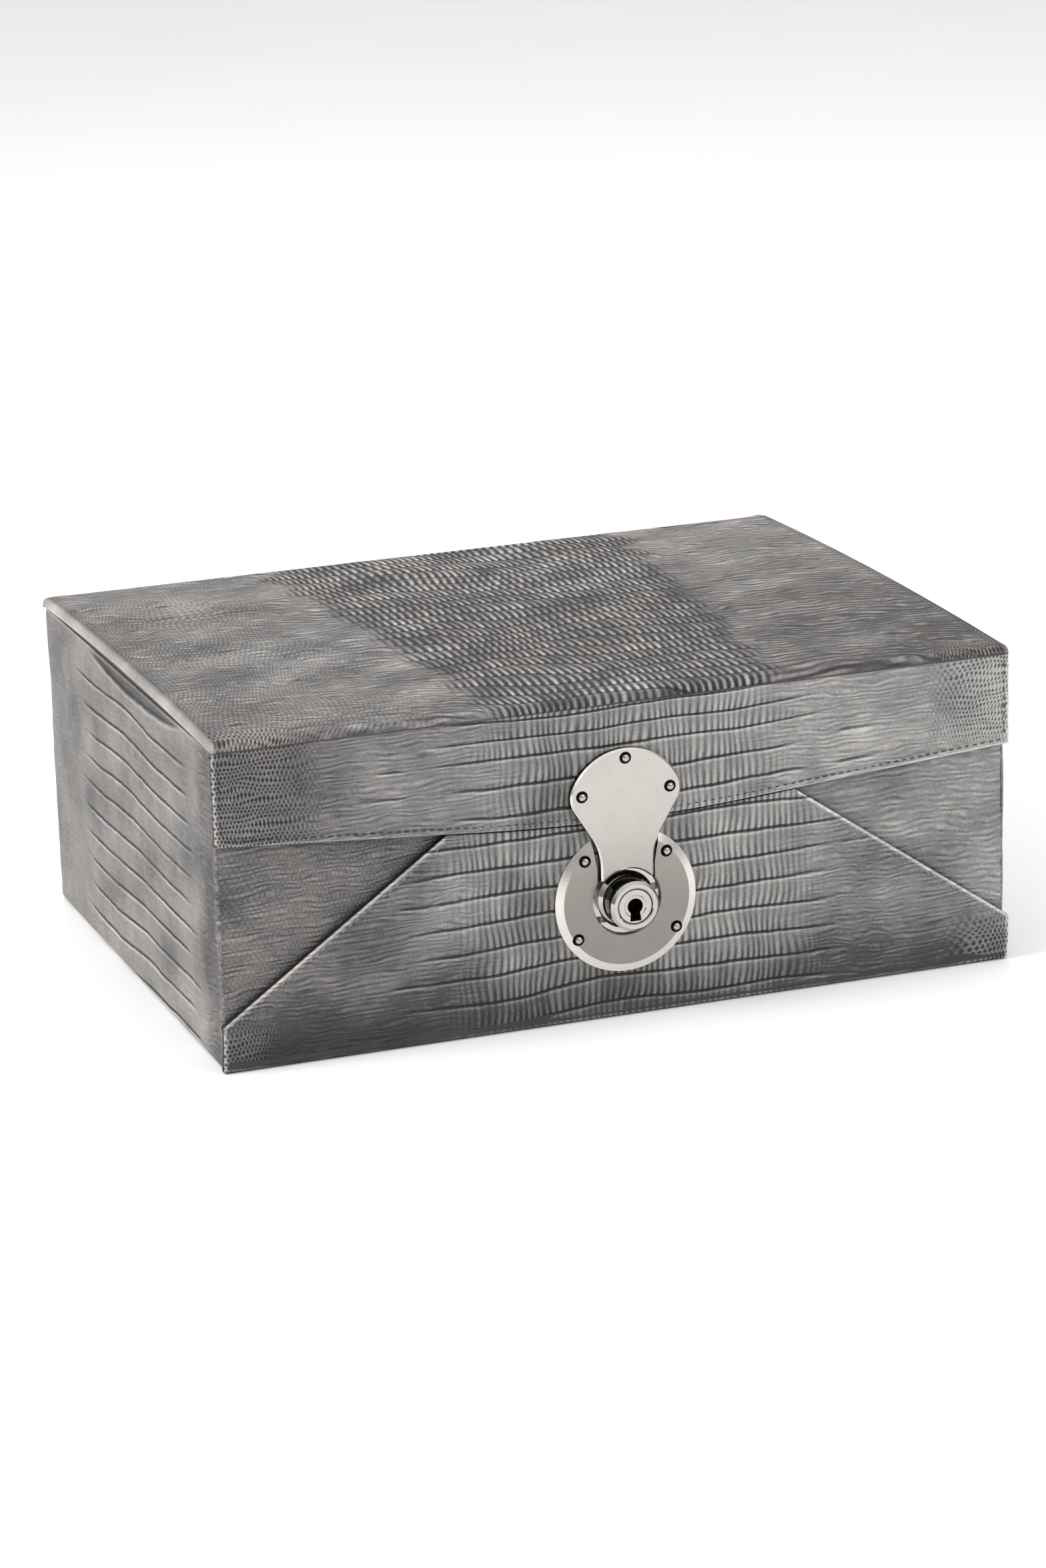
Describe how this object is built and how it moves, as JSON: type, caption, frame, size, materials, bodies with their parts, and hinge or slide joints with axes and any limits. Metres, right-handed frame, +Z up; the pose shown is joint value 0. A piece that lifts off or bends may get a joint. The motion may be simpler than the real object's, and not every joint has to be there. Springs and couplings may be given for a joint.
{
  "type": "jewellery chest",
  "caption": "Leather-covered jewellery chest with a hinged lid, hasp lock, two stacked drawers behind one hexagonal front, and a sliding ring tray.",
  "frame": {"origin": "middle of the bottom face, on the surface that the chest stands on", "axes": "X to the right and Y to the back as seen from the lock side, Z up"},
  "size_m": [0.3, 0.2391, 0.122],
  "materials": {
    "leather": "lizard-grain embossed, satin",
    "nickel": "polished nickel plate",
    "steel": "plain zinc-plated",
    "board": "raw fibreboard",
    "suede_board": "board wrapped in suede cloth",
    "suede": "suede cloth",
    "mirror_glass": "silvered glass"
  },
  "bodies": {
    "case": {"base_leather": "leather", "base_board": "board", "left_wall": "board", "right_wall": "board", "back_wall": "board", "front_post_left": "board", "front_post_right": "board", "front_rail": "board", "left_leather": "leather", "right_leather": "leather", "back_leather": "leather", "tunnel_left": "suede_board", "tunnel_right": "suede_board", "tunnel_roof": "suede_board", "drawer_runners": "suede_board", "tray_rails": "suede_board", "compartment_pad": "suede", "well_pads": "suede", "long_divider": "suede_board", "cross_dividers": "suede_board", "hinge_lower_leaves": "nickel", "hinge_pins": "nickel", "hinge_screws": "nickel"},
    "lid": {"lid_board": "board", "flap_board": "board", "lid_leather": "leather", "lid_frame": "suede", "mirror": "mirror_glass", "lid_lining": "suede", "hasp_plate": "nickel", "hasp_rivets": "nickel", "hasp_catch": "nickel", "hinge_upper_leaves": "nickel", "lid_hinge_screws": "nickel"},
    "lower_drawer": {"drawer_front_board": "board", "drawer_front_leather": "leather", "drawer_front_core": "suede_board", "lower_drawer_sides": "suede_board", "lower_drawer_back": "suede_board", "lower_drawer_bottom": "suede_board", "lower_drawer_pad": "suede", "lock_plate": "nickel", "lock_rivets": "nickel", "lock_housing": "nickel", "lock_case": "steel"},
    "lock_core": {"lock_plug": "nickel", "lock_cam": "steel"},
    "upper_drawer": {"upper_drawer_front": "suede_board", "upper_drawer_sides": "suede_board", "upper_drawer_back": "suede_board", "upper_drawer_bottom": "suede_board", "upper_drawer_pad": "suede", "upper_drawer_pull": "suede"},
    "tray": {"tray_bottom": "suede_board", "tray_ends": "suede_board", "tray_sides": "suede_board", "tray_divider": "suede_board", "tray_pad": "suede", "ring_rolls": "suede"}
  },
  "joints": [
    {"name": "lid_hinge", "type": "hinge", "parent": "case", "child": "lid", "pos_m": [0, 0.1148, 0.1163], "axis": [-1, 0, 0], "range_deg": [0, 95]},
    {"name": "lower_drawer_slide", "type": "slide", "parent": "case", "child": "lower_drawer", "axis": [0, -1, 0], "range_m": [0, 0.09]},
    {"name": "upper_drawer_slide", "type": "slide", "parent": "case", "child": "upper_drawer", "axis": [0, -1, 0], "range_m": [0, 0.05]},
    {"name": "lock_turn", "type": "hinge", "parent": "lower_drawer", "child": "lock_core", "pos_m": [0, -0.1119, 0.0444], "axis": [0, 1, 0], "range_deg": [0, 40]},
    {"name": "tray_slide", "type": "slide", "parent": "case", "child": "tray", "axis": [1, 0, 0], "range_m": [0, 0.1426]}
  ],
  "couplings": [
    {"joint": "lower_drawer_slide", "follows": "lid_hinge", "m_per_rad": 0.054},
    {"joint": "upper_drawer_slide", "follows": "lid_hinge", "m_per_rad": 0.03}
  ]
}
